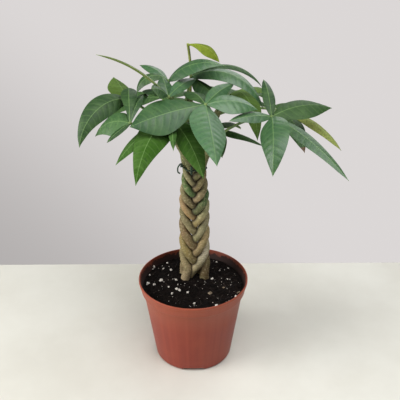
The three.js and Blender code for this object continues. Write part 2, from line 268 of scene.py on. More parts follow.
def wall_radius(height):
    """The outside of the tapered wall, with no collar, at a height."""
    top = RIM_RADIUS - COLLAR_STEP - 0.0006
    return BASE_RADIUS + (top - BASE_RADIUS) * height / POT_HEIGHT


def select_all():
    bpy.ops.mesh.select_all(action="SELECT")


def spun(name, outline, steps):
    """A round body: its outline, drawn point by point beside the axis, is spun once round it."""
    bpy.ops.mesh.primitive_plane_add(size=0.001)
    body = bpy.context.object
    body.name = body.data.name = name
    bpy.ops.object.mode_set(mode="EDIT")
    bpy.ops.mesh.merge(type="CENTER")
    here = Vector((0, 0, 0))
    for index, (radius, height) in enumerate(outline):
        move = Vector((radius, 0, height)) - here
        if index == 0:
            bpy.ops.transform.translate(value=move)
        else:
            bpy.ops.mesh.extrude_region_move(TRANSFORM_OT_translate={"value": move})
        here += move
    select_all()
    bpy.ops.mesh.spin(steps=steps, angle=math.tau, center=(0, 0, 0), axis=(0, 0, 1))
    select_all()
    bpy.ops.mesh.remove_doubles(threshold=COINCIDENT)
    bpy.ops.mesh.normals_make_consistent(inside=False)
    bpy.ops.object.mode_set(mode="OBJECT")
    return body


def arc(centre, radius, first, last, steps):
    """Points round part of a circle in an outline, from one angle in degrees to another."""
    turns = [math.radians(first + (last - first) * step / steps) for step in range(steps + 1)]
    return [(centre[0] + radius * math.cos(t), centre[1] + radius * math.sin(t)) for t in turns]


floor_top = PANEL_RISE + POT_WALL
collar_foot = POT_HEIGHT - COLLAR_DEPTH
collar_out = wall_radius(collar_foot) + COLLAR_STEP
lip = POT_WALL / 2
pot_outline = [
    (0, 0),
    (PAD_RADIUS - 0.0006, 0),
    (PAD_RADIUS, 0.0003),
    (PAD_RADIUS + 0.0012, PANEL_RISE - 0.0004),
    (PAD_RADIUS + 0.0018, PANEL_RISE),
    (BASE_RADIUS - FOOT_WIDTH - 0.0018, PANEL_RISE),
    (BASE_RADIUS - FOOT_WIDTH - 0.0012, PANEL_RISE - 0.0004),
    (BASE_RADIUS - FOOT_WIDTH, 0.0004),
    (BASE_RADIUS - FOOT_WIDTH + 0.0005, 0),
    *arc((wall_radius(FOOT_ROUND) - FOOT_ROUND, FOOT_ROUND), FOOT_ROUND, -90, -3, 8),
    (wall_radius(0.03), 0.03),
    (wall_radius(0.06), 0.06),
    (wall_radius(collar_foot - 0.0006), collar_foot - 0.0006),
    (wall_radius(collar_foot) + 0.0003, collar_foot),
    (collar_out - 0.0006, collar_foot + 0.0002),
    (collar_out - 0.0001, collar_foot + 0.0007),
    (collar_out + 0.0001, collar_foot + 0.0014),
    (RIM_RADIUS - 0.0007, POT_HEIGHT - 0.0042),
    (RIM_RADIUS - 0.0005, POT_HEIGHT - 0.0034),
    (RIM_RADIUS, POT_HEIGHT - 0.0026),
    *arc((RIM_RADIUS - lip, POT_HEIGHT - lip), lip, 0, 180, 8),
    (RIM_RADIUS - POT_WALL - 0.0007, POT_HEIGHT - 0.004),
    (collar_out - POT_WALL, collar_foot + 0.0025),
    (wall_radius(collar_foot) - POT_WALL, collar_foot - 0.0008),
    (wall_radius(floor_top) - POT_WALL, floor_top + 0.0015),
    (wall_radius(floor_top) - POT_WALL - 0.0015, floor_top),
    (0, floor_top),
]
pot = spun("pot_body", pot_outline, POT_SIDES)


def cut(body, tool):
    """Takes the tool's shape out of the body."""
    hole = body.modifiers.new("hole", "BOOLEAN")
    hole.operation = "DIFFERENCE"
    hole.object = tool
    bpy.context.view_layer.objects.active = body
    bpy.ops.object.modifier_apply(modifier="hole")
    bpy.data.objects.remove(tool)


for hole in range(DRAIN_HOLES):
    heading = math.tau * (hole + 0.5) / DRAIN_HOLES
    spot = (DRAIN_CIRCLE * math.cos(heading), DRAIN_CIRCLE * math.sin(heading), PANEL_RISE)
    bpy.ops.mesh.primitive_cylinder_add(vertices=32, radius=DRAIN_RADIUS, depth=0.02, location=spot)
    cut(pot, bpy.context.object)

# The foot ring is drawn up to an arch at each notch, and corners that it crowds together are merged.
half_turn = math.pi / FOOT_NOTCHES
for vertex in pot.data.vertices:
    away = math.hypot(vertex.co.x, vertex.co.y)
    heading = math.atan2(vertex.co.y, vertex.co.x)
    off_notch = (heading + half_turn) % (2 * half_turn) - half_turn
    across = 2 * away * math.sin(off_notch) / NOTCH_WIDTH
    if away > BASE_RADIUS - FOOT_WIDTH - 0.0001 and abs(across) < 1:
        arch = NOTCH_HEIGHT * (1 - across**NOTCH_SQUARENESS) ** (1 / NOTCH_SQUARENESS)
        vertex.co.z = max(vertex.co.z, arch)
bpy.ops.object.select_all(action="DESELECT")
pot.select_set(True)
bpy.context.view_layer.objects.active = pot
bpy.ops.object.mode_set(mode="EDIT")
select_all()
bpy.ops.mesh.remove_doubles(threshold=CROWDED)
bpy.ops.mesh.dissolve_degenerate(threshold=SLIVER)
bpy.ops.object.mode_set(mode="OBJECT")
bpy.ops.object.shade_smooth_by_angle(angle=math.radians(35))


def mark(piece, name, values):
    """Writes one number per corner of a piece, for its finish to read."""
    layer = piece.data.attributes.new(name, "FLOAT", "POINT")
    layer.data.foreach_set("value", values)


# The inside of the wall, with painted shade and peat dust: the corners that are nearer the axis than the
# wall's middle.
inside = []
for vertex in pot.data.vertices:
    up_collar = (vertex.co.z - collar_foot) / COLLAR_DEPTH
    collar_radius = collar_out + (RIM_RADIUS - collar_out) * up_collar
    outer = wall_radius(vertex.co.z) if up_collar < 0.04 else collar_radius
    away = math.hypot(vertex.co.x, vertex.co.y)
    inside.append(float(away < outer - POT_WALL / 2 and vertex.co.z > floor_top - 0.0001))
mark(pot, "inside", inside)

moulded = Finish("red_brown_plastic")
pot_place = moulded.place()
round_place = moulded.node(
    "VectorMath", {"operation": "NORMALIZE"}, Vector=moulded.stretched(pot_place, (1, 1, 0))
)
streaks = moulded.noise(round_place, 9, 3, 0.6)
clouds = moulded.noise(pot_place, 34, 4, 0.55)
pitting = moulded.noise(pot_place, 2600, 2, 0.6)
body_colour = moulded.mix(moulded.step(streaks, 0.35, 0.7), "812f1e", "8b3725")
body_colour = moulded.mix(moulded.step(clouds, 0.45, 0.75) * 0.5, body_colour, "964329")
pot_height = moulded.part(pot_place, "Z")
# Lighter from four centimetres below the collar up into it: painted light on the upper wall and collar.
collar_painted_light = moulded.step(pot_height, collar_foot - 0.04, collar_foot + 0.006)
body_colour = moulded.mix(collar_painted_light * 0.4, body_colour, "a85636")
# Darker inside the wall, and more so a centimetre below the rim: painted shade in the pot's hollow, partly
# peat dust.
dust_and_shade = moulded.step(pot_height + clouds * 0.012, POT_HEIGHT + 0.008, POT_HEIGHT - 0.008)
within = moulded.attribute("inside")
body_colour = moulded.mix(within * (0.35 + dust_and_shade * 0.5), body_colour, "2b1611")
# Near black, and rougher, up to a ragged line about a centimetre below the rim: painted shade inside the
# collar, with wet peat.
ragged_line = pot_height - moulded.noise(pot_place, 170, 4, 0.7) * 0.014
smear_and_shade = within * moulded.step(ragged_line, POT_HEIGHT - 0.0092, POT_HEIGHT - 0.0112)
body_colour = moulded.mix(smear_and_shade * 0.85, body_colour, "150e0b")
moulded.feed(
    Base_Color=body_colour,
    Roughness=0.38 + clouds * 0.12 + streaks * 0.06 + smear_and_shade * 0.35,
    Specular_IOR_Level=0.42,
    Normal=moulded.node("Bump", Strength=0.12, Distance=0.0004, Height=pitting),
)
pot.data.materials.append(moulded.material)
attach(pot, "root")
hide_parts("pot")

# ---- potting mix ----
# Dark peat, loose in the pot and filled to a finger below its rim, crumbly on top and heaped a little towards
# the trunk. It holds the foot of every stem.
SOIL_TOP = 0.09
SOIL_DOME = 0.0015
SOIL_RINGS = 76
SOIL_SIDES = 288
HOLLOW_DEPTH = 0.0016
CLOD_HEIGHT = 0.0013
CRUMB_HEIGHT = 0.0011
EDGE_SINK = 0.0012
EDGE_REACH = 0.006
soil_wall = wall_radius(SOIL_TOP) - POT_WALL
soil_foot = floor_top + 0.0003
soil_outline = [
    (0, soil_foot),
    (wall_radius(soil_foot) - POT_WALL - 0.003, soil_foot),
    (wall_radius(soil_foot + 0.003) - POT_WALL - 0.0002, soil_foot + 0.003),
    (soil_wall + 0.0003, SOIL_TOP - 0.003),
]
for ring in range(SOIL_RINGS + 1):
    soil_outline.append(((soil_wall + 0.0004) * (1 - ring / SOIL_RINGS), SOIL_TOP))
soil = spun("soil", soil_outline, SOIL_SIDES)


def soil_height(x, y):
    """How high the crumbly top lies at a place."""
    away = math.hypot(x, y)
    spot = Vector((x, y, 0))
    heap = SOIL_DOME * (1 - (away / soil_wall) ** 2)
    hollows = HOLLOW_DEPTH * noise.noise(spot * 60)
    clods = CLOD_HEIGHT * noise.fractal(spot * 260 + Vector((3, 7, 1)), 1.0, 2.1, 3)
    crumbs = CRUMB_HEIGHT * (0.5 - noise.voronoi(spot * 480)[0][0])
    inland = min(1, max(0, (soil_wall - away) / EDGE_REACH))
    return SOIL_TOP - EDGE_SINK * (1 - inland) + (heap + hollows + clods) * (0.35 + 0.65 * inland) + crumbs


for vertex in soil.data.vertices:
    if vertex.co.z > SOIL_TOP - 0.0001:
        vertex.co.z = soil_height(vertex.co.x, vertex.co.y)
bpy.ops.object.shade_smooth_by_angle(angle=math.radians(60))

peat = Finish("peat")
peat_place = peat.place()
peat_cloud = peat.noise(peat_place, 180, 4, 0.6)
peat_grain = peat.noise(peat_place, 1500, 4, 0.7)
peat_colour = peat.mix(peat.step(peat_cloud, 0.3, 0.75), "090605", "160f0c")
peat_colour = peat.mix(peat.step(peat_grain, 0.64, 0.76) * 0.8, peat_colour, "5b4a3e")
peat.feed(
    Base_Color=peat_colour,
    Roughness=0.8 + peat_grain * 0.2,
    Specular_IOR_Level=0.1,
    Normal=peat.node("Bump", Strength=0.8, Distance=0.0007, Height=peat_grain),
)
soil.data.materials.append(peat.material)
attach(soil, "root")
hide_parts("potting_mix")

# ---- crumbs and fibres on the mix ----
# Loose lumps of peat and bark dust, and short dead root fibres. They lie all over the top of the mix, partly
# sunk in it, as they fall when a pot is filled by hand.
CRUMBS = 900
CRUMB_SIZES = (0.0011, 0.0015, 0.0019, 0.0026)
FIBRES = 120
FIBRE_SAG = 3.0
FIBRE_WAVE = 1.2
chance = random.Random(7)


def gathered(name, model, placings):
    """Copies of one small model, joined into one piece. A placing is a place, a turn and a size."""
    corners, faces = [], []
    for place, turn, size in placings:
        first = len(corners)
        for vertex in model.data.vertices:
            corner = Vector((vertex.co.x * size[0], vertex.co.y * size[1], vertex.co.z * size[2]))
            corners.append(Vector(place) + turn @ corner)
        faces += [[first + index for index in face.vertices] for face in model.data.polygons]
    mesh = bpy.data.meshes.new(name)
    mesh.from_pydata(corners, [], faces)
    piece = bpy.data.objects.new(name, mesh)
    bpy.context.scene.collection.objects.link(piece)
    return piece


def any_turn():
    """A turn by chance, about an axis that points anywhere."""
    axis = Vector((chance.gauss(0, 1), chance.gauss(0, 1), chance.gauss(0, 1))).normalized()
    return Quaternion(axis, chance.uniform(0, math.tau))


def on_soil(reach, sink=0.0):
    """A place by chance on the mix, out to a share of its radius and sunk below its top."""
    away = soil_wall * reach * math.sqrt(chance.random())
    heading = chance.uniform(0, math.tau)
    x = away * math.cos(heading)
    y = away * math.sin(heading)
    return Vector((x, y, soil_height(x, y) - sink))


def pebble(name, detail, unevenness):
    """A rough little lump about one metre across, to be scaled down where it is used."""
    bpy.ops.mesh.primitive_ico_sphere_add(subdivisions=detail, radius=0.5)
    lump = bpy.context.object
    lump.name = lump.data.name = name
    for vertex in lump.data.vertices:
        bulge = noise.noise(vertex.co * 3.1 + Vector((9, 2, 5))) + chance.uniform(-0.4, 0.4)
        vertex.co *= 1 + unevenness * bulge
    return lump


crumb_model = pebble("crumb_model", 1, 0.5)
crumb_places = []
for _ in range(CRUMBS):
    size = chance.choice(CRUMB_SIZES)
    flat = (size * chance.uniform(0.8, 1.5), size, size * chance.uniform(0.5, 0.9))
    crumb_places.append((on_soil(0.985, 0.0001), any_turn(), flat))
crumbs = gathered("soil_crumbs", crumb_model, crumb_places)
crumbs.data.materials.append(peat.material)
bpy.data.objects.remove(crumb_model)

bpy.ops.mesh.primitive_cylinder_add(vertices=5, radius=0.5, depth=1)
fibre_model = bpy.context.object
bpy.ops.object.mode_set(mode="EDIT")
select_all()
bpy.ops.mesh.subdivide(number_cuts=2)
bpy.ops.object.mode_set(mode="OBJECT")
for vertex in fibre_model.data.vertices:
    vertex.co.x += FIBRE_SAG * (0.25 - vertex.co.z**2)
    vertex.co.y += FIBRE_WAVE * math.sin(5 * vertex.co.z)
fibre_places = []
for _ in range(FIBRES):
    lie = Quaternion((0, 0, 1), chance.uniform(0, math.tau))
    lie = lie @ Quaternion((1, 0, 0), math.pi / 2 + chance.uniform(-0.35, 0.35))
    thick = chance.uniform(0.00018, 0.00035)
    fibre_places.append((on_soil(0.97, -0.0005), lie, (thick, thick, chance.uniform(0.003, 0.009))))
fibres = gathered("root_fibres", fibre_model, fibre_places)
bpy.data.objects.remove(fibre_model)
fibre = Finish("root_fibre")
fibre_tone = fibre.noise(fibre.place(), 210, 2)
fibre.feed(
    Base_Color=fibre.mix(fibre.step(fibre_tone, 0.4, 0.65), "1e1511", "42342a"),
    Roughness=0.85,
)
fibres.data.materials.append(fibre.material)
for piece in (crumbs, fibres):
    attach(piece, "root")

# ---- perlite and bark chips ----
# White grains of expanded perlite that were stirred into the peat, and a few pale chips of bark. All lie
# loose in the top of the mix, half sunk.
PERLITE_DUST = 70
PERLITE_SHOWING = 0.22
# The larger grains: x, y and width in millimetres.
PERLITE = [
    (-45, 33, 3.2), (-46, 29, 1.8), (-34, 27, 2.0), (-25, 23, 3.0), (-49, 15, 2.6), (-36, 3, 4.4),
    (-50, -2, 3.8), (-43, -4, 2.8), (-19, 3, 2.6), (-17, -5, 1.6), (-27, -10, 1.8), (-18, -16, 3.2),
    (-15, -17, 2.8), (-23, -22, 2.4), (-6, -22, 2.4), (1, -40, 2.6), (15, 11, 2.4), (21, 6, 2.8),
    (30, 23, 1.8), (40, 29, 2.0), (25, -44, 3.8), (46, -26, 2.6), (-30, 38, 2.2), (8, 42, 2.6),
    (27, 39, 2.4), (-8, 47, 2.0), (38, 5, 1.8),
]
perlite_model = pebble("perlite_model", 2, 0.45)
perlite_places = []
for x, y, width in PERLITE:
    size = width / 1000
    spot = Vector((x / 1000, y / 1000, 0))
    spot.z = soil_height(spot.x, spot.y) + size * PERLITE_SHOWING
    perlite_places.append((spot, any_turn(), (size * 1.15, size, size * 0.85)))
for _ in range(PERLITE_DUST):
    size = chance.uniform(0.0004, 0.0009)
    perlite_places.append((on_soil(0.97, -size * 0.3), any_turn(), (size * 1.2, size, size)))
perlite = gathered("perlite", perlite_model, perlite_places)
bpy.data.objects.remove(perlite_model)
puffed = Finish("perlite")
pits = puffed.noise(puffed.place(), 1900, 3, 0.6)
puffed.feed(
    Base_Color=puffed.mix(puffed.step(pits, 0.35, 0.6), "a59a90", "ece6dc"),
    Roughness=0.9,
    Normal=puffed.node("Bump", Strength=0.6, Distance=0.0003, Height=pits),
)
perlite.data.materials.append(puffed.material)

# The chips: x, y, and length, width and height in millimetres.
BARK_CHIPS = [
    (18, -24, (5.2, 3.8, 1.6)), (49, -19, (6.0, 1.6, 1.4)), (-12, 34, (5, 2.4, 1.4)), (33, -12, (3, 2, 1)),
]
CHIP_LIFT = 0.0009
chip_model = pebble("chip_model", 2, 0.3)
chip_places = []
for x, y, size in BARK_CHIPS:
    spot = Vector((x / 1000, y / 1000, 0))
    spot.z = soil_height(spot.x, spot.y) + CHIP_LIFT
    lie = Quaternion((0, 0, 1), x * 0.4) @ Quaternion((1, 0, 0), 0.25)
    chip_places.append((spot, lie, [side / 1000 for side in size]))
chips = gathered("bark_chips", chip_model, chip_places)
bpy.data.objects.remove(chip_model)
chip = Finish("bark_chip")
chip_grain = chip.noise(chip.place(), 700, 4, 0.7)
chip.feed(
    Base_Color=chip.mix(chip.step(chip_grain, 0.35, 0.65), "5f5040", "a8967c"),
    Roughness=0.9,
    Normal=chip.node("Bump", Strength=0.7, Distance=0.0004, Height=chip_grain),
)
chips.data.materials.append(chip.material)
for piece in (perlite, chips):
    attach(piece, "root")

# ---- braided stems ----
# Five young trunks of one kind, rooted in the mix and braided while soft. Each runs round a figure of eight
# as it climbs, so that in front all of them slant outwards. The braid tightens towards the tie, and above it
# each stem goes its own way.
STRANDS = 5
STRAND_SIDES = 28
STRAND_RINGS = 260
STRAND_RADIUS = 0.005
TIED_RADIUS = 0.0038
BRAID_X = 0.0016
BRAID_Y = 0.013
BRAID_HALF_WIDTH = 0.012
BRAID_HALF_DEPTH = 0.0058
BRAID_PITCH = 0.094
BRAID_LEAD = math.radians(32)
BRAID_STRAIGHTNESS = 0.9
CROSSING_Z = 0.1228
LOOSER_Z = 0.108
ROOT_EASE = 0.008
ROOT_SPLAY = (0, -5, 1, 0, -6.5)
TIGHTER_Z = 0.16
TIGHTENING = 5
TIGHTENING_EASE = 0.014
TIE_SQUEEZE = 0.24
SQUEEZE_START_Z = 0.185
SQUEEZE_END_Z = 0.222
BRAID_STEP = 0.0056
ROOT_Z = 0.08
TIE_Z = 0.226
SLIMMER_Z = 0.12
FREE_RADIUS = 0.0034
SWELLING = 0.00035
DENTS = 0.00035
RING_SPACING = 0.0031
RING_HEIGHT = 0.00016
SCAR_SPACING = 0.0173
SCAR_HEIGHT = 0.00022
ROUNDED_END = 0.015
# Each stem's way above the tie, in millimetres.
FREE_ENDS = [
    [(12, 22, 246), (19, 26, 266), (28, 26, 286)],
    [(-8, 2, 244), (-15, -4, 262), (-24, -10, 280)],
    [(-10, 15, 246), (-14, 20, 268), (-18, 24, 288)],
    [(-2, 16, 250), (-3, 16, 276), (-3, 15, 302)],
    [(14, 2, 245), (20, -3, 264), (24, -12, 284)],
]


def smooth(value, low, high):
    """Rises from 0 to 1, gently at both ends, as a value goes from low to high."""
    share = min(1, max(0, (value - low) / (high - low)))
    return share * share * (3 - 2 * share)


def millimetres(places):
    """Places given in millimetres, as places in metres."""
    return [Vector(place) / 1000 for place in places]


class Route:
    """A smooth line through a row of places, walked by share of its length."""

    def __init__(self, places, fineness=12):
        ends = [2 * places[0] - places[1], *places, 2 * places[-1] - places[-2]]
        self.spots = []
        for a, b, c, d in zip(ends, ends[1:], ends[2:], ends[3:]):
            for step in range(fineness):
                t = step / fineness
                bend = (2 * a - 5 * b + 4 * c - d) * t * t + (3 * b - a - 3 * c + d) * t**3
                self.spots.append((2 * b + (c - a) * t + bend) / 2)
        self.spots.append(places[-1])
        self.lengths = [0.0]
        for here, there in zip(self.spots, self.spots[1:]):
            self.lengths.append(self.lengths[-1] + (there - here).length)

    def at(self, share):
        """The place at a share of the line's length."""
        goal = share * self.lengths[-1]
        index = min(max(bisect.bisect_right(self.lengths, goal), 1), len(self.spots) - 1)
        before = self.lengths[index - 1]
        part = (goal - before) / (self.lengths[index] - before)
        return self.spots[index - 1].lerp(self.spots[index], part)


def rolled(name, route, radius_at, sides, rings):
    """A stem: a sheet rolled into a tube along its route and closed at both ends.
    radius_at is given how far along and how far round the tube a place is, each from 0 to 1."""
    bpy.ops.object.select_all(action="DESELECT")
    bpy.ops.mesh.primitive_grid_add(x_subdivisions=sides, y_subdivisions=rings, size=1)
    tube = bpy.context.object
    tube.name = tube.data.name = name
    spots = [route.at(ring / rings) for ring in range(rings + 1)]
    side = Vector((1, 0.2, 0.1))
    frames = []
    for ring in range(rings + 1):
        ahead = (spots[min(ring + 1, rings)] - spots[max(ring - 1, 0)]).normalized()
        side = (side - ahead * side.dot(ahead)).normalized()
        frames.append((side.copy(), ahead.cross(side)))
    for vertex in tube.data.vertices:
        along = vertex.co.y + 0.5
        around = (vertex.co.x + 0.5) % 1
        ring = round(along * rings)
        out = frames[ring][0] * math.cos(math.tau * around) + frames[ring][1] * math.sin(math.tau * around)
        vertex.co = spots[ring] + out * radius_at(along, around)
    bpy.ops.object.mode_set(mode="EDIT")
    select_all()
    bpy.ops.mesh.remove_doubles(threshold=COINCIDENT)
    bpy.ops.mesh.fill_holes(sides=0)
    select_all()
    bpy.ops.mesh.normals_make_consistent(inside=False)
    bpy.ops.object.mode_set(mode="OBJECT")
    bpy.ops.object.shade_smooth_by_angle(angle=math.radians(60))
    return tube


def strand_place(strand, height):
    """Where a strand of the braid is at a height."""
    below = max(0, LOOSER_Z - height)
    above = max(0, height - TIGHTER_Z)
    climb = max(height, LOOSER_Z) - ROOT_EASE * (1 - math.exp(-below / ROOT_EASE)) - CROSSING_Z
    tightened = TIGHTENING * above**2 / (above + TIGHTENING_EASE)
    turn = math.tau * (climb / BRAID_PITCH + tightened + strand / STRANDS)
    spread = 1 - TIE_SQUEEZE * smooth(height, SQUEEZE_START_Z, SQUEEZE_END_Z)
    sideways = math.asin(BRAID_STRAIGHTNESS * math.sin(turn)) / math.asin(BRAID_STRAIGHTNESS)
    forward = math.sin(2 * turn + BRAID_LEAD)
    forward *= 2 / (1 + abs(forward))
    aside = ROOT_SPLAY[strand] / 1000 * (1 - smooth(height, 0.09, LOOSER_Z))
    x = BRAID_X + BRAID_HALF_WIDTH * spread * sideways + aside
    y = BRAID_Y - BRAID_HALF_DEPTH * math.sqrt(spread) * forward
    return Vector((x, y, height))


def strand_route(strand):
    """A stem's whole way: through the braid to the tie and on to its free end."""
    places = []
    step = 0
    while ROOT_Z + step * BRAID_STEP <= TIE_Z:
        places.append(strand_place(strand, ROOT_Z + step * BRAID_STEP))
        step += 1
    return Route(places + millimetres(FREE_ENDS[strand]))


def strand_radius(strand, route):
    """The strand's radius: even up to the tie and slimmer above, uneven with swellings and old leaf scars."""

    def radius_at(along, around):
        spot = route.at(along)
        radius = STRAND_RADIUS + (TIED_RADIUS - STRAND_RADIUS) * smooth(spot.z, SLIMMER_Z, TIE_Z)
        radius += (FREE_RADIUS - radius) * smooth(along, 0.7, 1)
        swelling = SWELLING * noise.noise(spot * 45 + Vector((strand * 5, 0, 0)))
        lean = Vector((math.cos(math.tau * around), math.sin(math.tau * around), 0)) * 0.0035
        dents = DENTS * noise.noise((spot + lean) * 190)
        old = 1 - smooth(spot.z, 0.1, 0.16)
        wobble = 0.35 * noise.noise((spot + lean) * 120)
        length = along * route.lengths[-1]
        ring = math.sin(math.tau * (length / RING_SPACING + wobble + strand * 0.37))
        scar = math.sin(math.tau * (length / SCAR_SPACING + 0.2 * wobble + strand * 0.29))
        rings = RING_HEIGHT * (0.35 + 0.65 * old) * ring + SCAR_HEIGHT * max(0, scar) ** 8
        rounding = math.sqrt(1 - min(1, max(0, (along - 1 + ROUNDED_END) / ROUNDED_END)) ** 2)
        return (radius + swelling + dents + rings) * max(0.05, rounding)

    return radius_at


strand_routes = [strand_route(strand) for strand in range(STRANDS)]
strands = [
    rolled(f"strand_{strand + 1}", route, strand_radius(strand, route), STRAND_SIDES, STRAND_RINGS)
    for strand, route in enumerate(strand_routes)
]

# The colour of each strand's bark as it climbs: height in millimetres and colour.
BARK_TINTS = [
    [
        (90, "94805f"), (123, "8f7b55"), (143, "ab9468"), (170, "95784c"), (190, "a58760"), (215, "8f8058"),
        (240, "6f744a"),
    ],
    [
        (90, "a08e68"), (104, "ab9b74"), (122, "c2b79c"), (150, "857a56"), (168, "7d7350"), (192, "a08c68"),
        (208, "8f8260"), (235, "6f744a"),
    ],
    [
        (90, "62502f"), (115, "746041"), (131, "7f6645"), (150, "7f6645"), (178, "5c6640"), (198, "4c7240"),
        (209, "8d8460"), (235, "6f7449"),
    ],
    [
        (90, "82704a"), (112, "7c6a46"), (130, "8c7a46"), (161, "9c8a5a"), (178, "aaa57a"), (198, "4f6c3a"),
        (212, "56703a"), (240, "606f42"),
    ],
    [
        (90, "a08d6c"), (115, "95835c"), (141, "8f8862"), (160, "98906f"), (184, "6e6142"), (200, "877b56"),
        (235, "626639"),
    ],
]


def tinted(piece, stops):
    """Writes a colour per corner of a piece, from stops of height and colour."""
    layer = piece.data.attributes.new("tint", "FLOAT_COLOR", "POINT")
    heights = [stop[0] / 1000 for stop in stops]
    colours = [Vector(pigment(stop[1])[:3]) for stop in stops]
    for vertex in piece.data.vertices:
        above = min(max(bisect.bisect(heights, vertex.co.z), 1), len(heights) - 1)
        share = smooth(vertex.co.z, heights[above - 1], heights[above])
        layer.data[vertex.index].color = (*colours[above - 1].lerp(colours[above], share), 1)


def crease(strand, piece):
    """How deep each corner of a strand lies between its neighbours: 0 on the outside, 1 in a crease."""
    others = [route for index, route in enumerate(strand_routes) if index != strand]
    near = kdtree.KDTree(sum(len(route.spots) for route in others))
    for route in others:
        for spot in route.spots:
            near.insert(spot, 0)
    near.balance()
    gaps = [near.find(vertex.co)[2] - TIED_RADIUS for vertex in piece.data.vertices]
    return [1 - smooth(gap, 0.0006, 0.004) for gap in gaps]


# The bark differs from strand to strand. It is more wrinkled below and green where it is young, ringed
# across, darkened in the creases with painted shade and lighter on the outside with painted highlight flecks.
RINGS_PER_METRE = 430
bark = Finish("green_tan_bark")
bark_place = bark.place()
height = bark.part(bark_place, "Z")
patches = bark.noise(bark_place, 95, 3, 0.55)
wrinkles = bark.noise(bark.stretched(bark_place, (1, 1, 5)), 230, 4, 0.65)
flecks = bark.noise(bark_place, 520, 4, 0.65)
old = 1 - bark.step(height, 0.095, 0.15)
off_ring = bark.maths("PINGPONG", bark.attribute("course") * RINGS_PER_METRE + wrinkles * 1.6, 0.5)
ring = 1 - bark.step(off_ring, 0.03, 0.2)
tint = bark.node("Attribute", {"attribute_name": "tint"}, output="Color")
crease_shade = bark.attribute("crease")
bark_colour = bark.mix(bark.step(patches, 0.42, 0.62) * 0.4, tint, "6b6a3f")
# Pale flecks kept to the outside of each strand, away from the creases: a painted highlight.
bark_colour = bark.mix(bark.step(flecks, 0.5, 0.68) * (1 - crease_shade) * 0.45, bark_colour, "cfc39b")
bark_colour = bark.mix(ring * (0.25 + old * 0.35), bark_colour, "51432a")
bark_colour = bark.mix(bark.step(wrinkles, 0.5, 0.72) * (0.3 + old * 0.3), bark_colour, "4a3d26")
# Darkest deep in the creases between strands: painted shade.
bark_colour = bark.mix(crease_shade**1.5 * 0.85, bark_colour, "2c2115")
bark.feed(
    Base_Color=bark_colour,
    Roughness=0.58 + wrinkles * 0.25,
    Specular_IOR_Level=0.4,
    Normal=bark.node("Bump", Strength=0.6, Distance=0.0006, Height=wrinkles + flecks * 0.5 - ring * 0.4),
)
for strand, piece in enumerate(strands):
    tinted(piece, BARK_TINTS[strand])
    mark(piece, "crease", crease(strand, piece))
    mark(piece, "course", [vertex.co.z * 1.3 for vertex in piece.data.vertices])
    piece.data.materials.append(bark.material)
    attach(piece, "root")
    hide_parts(f"stem_{strand + 1}")

# ---- twist tie ----
# A green plastic-coated wire, bound once round the top of the braid and twisted together in front, with one
# end left standing off in a loop.
WIRE_RADIUS = 0.00075
WIRE_SIDES = 10
BAND_STEPS = 36
TWIST_RADIUS = 0.00068
TWIST_STEPS = 16
TWIST_PITCH = 0.0005
# The loose end's way round its loop, in millimetres.
LOOP_PLACES = [
    (-12, 1, 232), (-10.5, -2, 236), (-12.5, -3, 237), (-15, -3, 233), (-15, -3, 228), (-12.8, -3, 226.5),
]


def band_place(turn):
    """The wire's place at one heading: against the outermost strand, which slants past it."""
    outward = Vector((math.cos(turn), math.sin(turn), 0))
    best = (-1, None)
    for strand in range(STRANDS):
        centre = strand_place(strand, TIE_Z)
        slant = (strand_place(strand, TIE_Z + 0.001) - strand_place(strand, TIE_Z - 0.001)) / 0.002
        slant.z = 0
        reach = TIED_RADIUS * math.hypot(1, slant.dot(outward))
        if centre.dot(outward) + reach > best[0]:
            best = (centre.dot(outward) + reach, centre + outward * (reach + WIRE_RADIUS))
    return best[1]


def wire(name, places, rings):
    return rolled(name, Route(places), lambda along, around: WIRE_RADIUS, WIRE_SIDES, rings)


front = -math.pi / 2
band = [band_place(front + math.tau * step / BAND_STEPS) for step in range(BAND_STEPS + 1)]
wires = [wire("twist_tie_wire", band, 120)]
knot = band[0] + Vector((0.0004, -0.0012, 0.0015))
for start in (0, math.pi):
    twist = []
    for step in range(TWIST_STEPS + 1):
        turn = start + math.pi * step / 4
        drop = TWIST_PITCH * step
        sideways = TWIST_RADIUS * math.cos(turn)
        forward = TWIST_RADIUS * math.sin(turn) - 0.04 * drop
        twist.append(knot + Vector((sideways, forward, 0.0035 - drop)))
    wires.append(wire("twist", twist, 60))
wires.append(wire("loop", [band[BAND_STEPS - 10], *millimetres(LOOP_PLACES)], 60))


def joined(pieces):
    """Pieces that are one in the real thing, made one mesh. The first gives its name."""
    bpy.ops.object.select_all(action="DESELECT")
    for piece in pieces:
        piece.select_set(True)
    bpy.context.view_layer.objects.active = pieces[0]
    if len(pieces) > 1:
        bpy.ops.object.join()
    return pieces[0]


tie = joined(wires)
coated = Finish("green_coated_wire")
scuffs = coated.noise(coated.place(), 900, 3)
coated.feed(
    Base_Color=coated.mix(coated.step(scuffs, 0.45, 0.7), "16301f", "31523a"),
    Roughness=0.35 + scuffs * 0.2,
)
tie.data.materials.append(coated.material)
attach(tie, "root")
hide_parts("twist_tie")

# ---- leaves ----
# Each leaf is a hand of leaflets round a hub, on a long stalk that grows out of a stem. A leaflet is a thin
# leathery blade, folded a little along its pale midrib, bent down by its own weight and quilted between its
# side veins.
BLADE_COLUMNS = 16
BLADE_ROWS = 84
BLADE_THICKNESS = 0.0004
BLADE_FOLD = math.radians(14)
BLADE_FOOT = 0.0009
BLADE_TIP = 0.0001
BLADE_WAVE = 0.03
VEIN_SPACING = 0.0074
VEIN_SLANT = 0.34
VEIN_CURVE = 0.3
QUILTING = 0.015
MIDRIB_HEIGHT = 0.00028
MIDRIB_REACH = 0.0009
KEEL_RADIUS = 0.001
KEEL_TAPER = 0.0008
KEEL_END = 0.96
KEEL_STEPS = 12
STALK_RADIUS = 0.0013
STALK_BEND = 0.45
STALK_STEPS = 10
HUB_RADIUS = 0.0017
